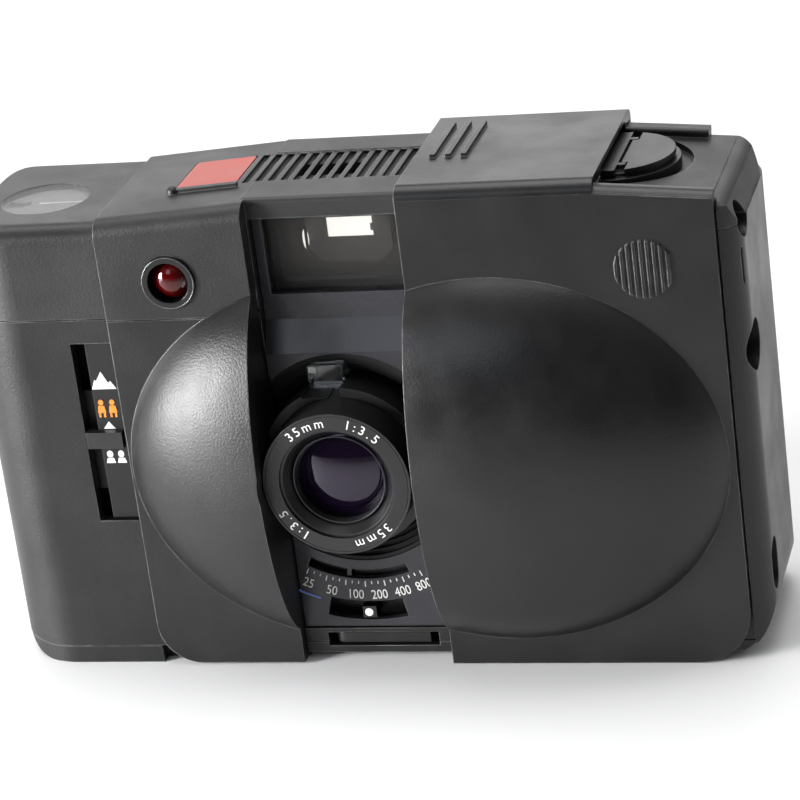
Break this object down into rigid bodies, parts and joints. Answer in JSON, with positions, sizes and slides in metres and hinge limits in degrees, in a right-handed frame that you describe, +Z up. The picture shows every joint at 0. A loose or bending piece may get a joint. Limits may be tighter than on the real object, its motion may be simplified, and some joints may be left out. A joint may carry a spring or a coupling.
{
  "type": "compact 35 mm film camera",
  "caption": "Compact 35 mm film camera with a domed sliding cover over the lens and finder, top flap, zone focusing lever, rear film door and thumbwheel advance.",
  "frame": {"origin": "on the base face, midway between the two ends of the body and 14 mm behind the flat front plane", "axes": "+X towards the rewind end (the viewer's right), +Y away from the viewer along the lens axis towards the film, +Z up"},
  "size_m": [0.102, 0.0393, 0.0649],
  "materials": {
    "black_plastic": "satin",
    "dark_plastic": "matte",
    "red_plastic": "gloss",
    "white_plastic": "gloss",
    "steel": "brushed",
    "aluminium": "black anodised",
    "brass": "bare",
    "glass": "coated",
    "foam": "soft",
    "board": "matte"
  },
  "bodies": {
    "body": {"main_body": "black_plastic", "top_cover": "black_plastic", "front_cover": "black_plastic", "bottom_cover": "black_plastic", "bay_mask": "dark_plastic", "lens_baffle": "dark_plastic", "door_hinge_pin": "steel", "light_seals": "foam", "counter_bridge": "steel", "counter_window": "glass", "release_switch": "dark_plastic", "circuit_board": "board", "board_components": "dark_plastic", "lamp_bezel": "steel", "lamp_lens": "red_plastic", "viewfinder_window": "glass", "viewfinder_tunnel": "dark_plastic", "viewfinder_objective": "glass", "viewfinder_eyepiece": "glass", "sensor_window": "glass", "sensor_cell": "steel", "symbol_plate": "dark_plastic", "lens_barrel": "aluminium", "rear_element": "glass", "shutter_housing": "dark_plastic", "battery_cells": "steel", "battery_contact": "brass", "tripod_bush": "steel", "flash_socket": "brass", "flash_contact": "brass", "strap_pin": "steel", "bottom_screws": "steel"},
    "cover": {"slide_cover": "black_plastic"},
    "door": {"rear_door": "black_plastic", "pressure_springs": "steel", "cassette_spring": "steel"},
    "plate": {"pressure_plate": "aluminium"},
    "latch": {"door_latch": "steel", "rewind_collar": "steel"},
    "rewind": {"rewind_shaft": "steel", "rewind_knob": "black_plastic"},
    "crank": {"rewind_crank": "black_plastic"},
    "wheel": {"thumbwheel": "dark_plastic"},
    "spool": {"takeup_spool": "dark_plastic"},
    "sprocket": {"film_sprocket": "steel", "sprocket_gear": "brass"},
    "counter": {"counter_dial": "white_plastic"},
    "release": {"shutter_button": "red_plastic"},
    "zone": {"zone_lever": "dark_plastic"},
    "focus": {"focus_ring": "steel"},
    "cell": {"focus_cell": "aluminium", "name_ring": "aluminium", "front_element": "glass", "middle_element": "glass"},
    "blade_l": {"shutter_blade_left": "steel"},
    "blade_r": {"shutter_blade_right": "steel"},
    "speed": {"speed_ring": "steel"},
    "timer": {"timer_lever": "steel"},
    "battery_door": {"battery_cap": "steel"},
    "rewind_button": {"rewind_release_button": "steel"}
  },
  "joints": [
    {"name": "cover_slide", "type": "slide", "parent": "body", "child": "cover", "axis": [1, 0, 0], "range_m": [-0.0197, 0]},
    {"name": "door_hinge", "type": "hinge", "parent": "body", "child": "door", "pos_m": [-0.0436, 0.0136, 0.026], "axis": [0, 0, 1], "range_deg": [0, 110]},
    {"name": "pressure_plate_float", "type": "slide", "parent": "door", "child": "plate", "axis": [0, 1, 0], "range_m": [-0.0002, 0]},
    {"name": "rewind_lift", "type": "slide", "parent": "body", "child": "latch", "axis": [0, 0, 1], "range_m": [0, 0.0008]},
    {"name": "rewind_turn", "type": "hinge", "parent": "latch", "child": "rewind", "pos_m": [0.0342, 0.0014, 0.058], "axis": [0, 0, 1], "continuous": true},
    {"name": "crank_fold", "type": "hinge", "parent": "rewind", "child": "crank", "pos_m": [0.0356, 0.0014, 0.06265], "axis": [0, 1, 0], "range_deg": [-90, 0]},
    {"name": "thumbwheel_turn", "type": "hinge", "parent": "body", "child": "wheel", "pos_m": [-0.038, 0.0052, 0.055], "axis": [0, 0, 1], "continuous": true},
    {"name": "takeup_turn", "type": "hinge", "parent": "body", "child": "spool", "pos_m": [-0.038, 0.0052, 0.028], "axis": [0, 0, 1], "continuous": true},
    {"name": "sprocket_turn", "type": "hinge", "parent": "body", "child": "sprocket", "pos_m": [-0.0259, 0.0072, 0.028], "axis": [0, 0, 1], "continuous": true},
    {"name": "counter_turn", "type": "hinge", "parent": "body", "child": "counter", "pos_m": [-0.0401, -0.0018, 0.0585], "axis": [0, 0, 1], "continuous": true},
    {"name": "shutter_press", "type": "slide", "parent": "body", "child": "release", "axis": [0, 0, 1], "range_m": [-0.0004, 0]},
    {"name": "zone_slide", "type": "slide", "parent": "body", "child": "zone", "axis": [0, 0, 1], "range_m": [-0.0055, 0.0085]},
    {"name": "focus_turn", "type": "hinge", "parent": "body", "child": "focus", "pos_m": [-0.001, -0.007, 0.0282], "axis": [0, 1, 0], "range_deg": [-24, 36]},
    {"name": "lens_extend", "type": "slide", "parent": "body", "child": "cell", "axis": [0, 1, 0], "range_m": [-0.0002, 0.00031]},
    {"name": "blade_left_swing", "type": "hinge", "parent": "body", "child": "blade_l", "pos_m": [-0.0032, -0.0026, 0.037], "axis": [0, 1, 0], "range_deg": [0, 36]},
    {"name": "blade_right_swing", "type": "hinge", "parent": "body", "child": "blade_r", "pos_m": [0.0012, -0.0022, 0.037], "axis": [0, 1, 0], "range_deg": [-36.5, 0]},
    {"name": "film_speed_turn", "type": "hinge", "parent": "body", "child": "speed", "pos_m": [-0.001, -0.01, 0.0282], "axis": [0, 1, 0], "range_deg": [-9.5, 10]},
    {"name": "self_timer_swing", "type": "hinge", "parent": "body", "child": "timer", "pos_m": [-0.0052, -0.0105, 0.0029], "axis": [0, 0, -1], "range_deg": [0, 90]},
    {"name": "battery_cap_turn", "type": "hinge", "parent": "body", "child": "battery_door", "pos_m": [-0.01, 0.0025, 0.0012], "axis": [0, 0, 1], "range_deg": [0, 90]},
    {"name": "rewind_release_press", "type": "slide", "parent": "body", "child": "rewind_button", "axis": [0, 0, 1], "range_m": [0, 0.0015]}
  ],
  "couplings": [
    {"joint": "takeup_turn", "follows": "thumbwheel_turn", "ratio": 1},
    {"joint": "sprocket_turn", "follows": "thumbwheel_turn", "ratio": -1.5333},
    {"joint": "counter_turn", "follows": "thumbwheel_turn", "ratio": 0.02875},
    {"joint": "focus_turn", "follows": "zone_slide", "rad_per_m": 69.93},
    {"joint": "lens_extend", "follows": "zone_slide", "ratio": 0.035},
    {"joint": "blade_right_swing", "follows": "blade_left_swing", "ratio": -1}
  ]
}
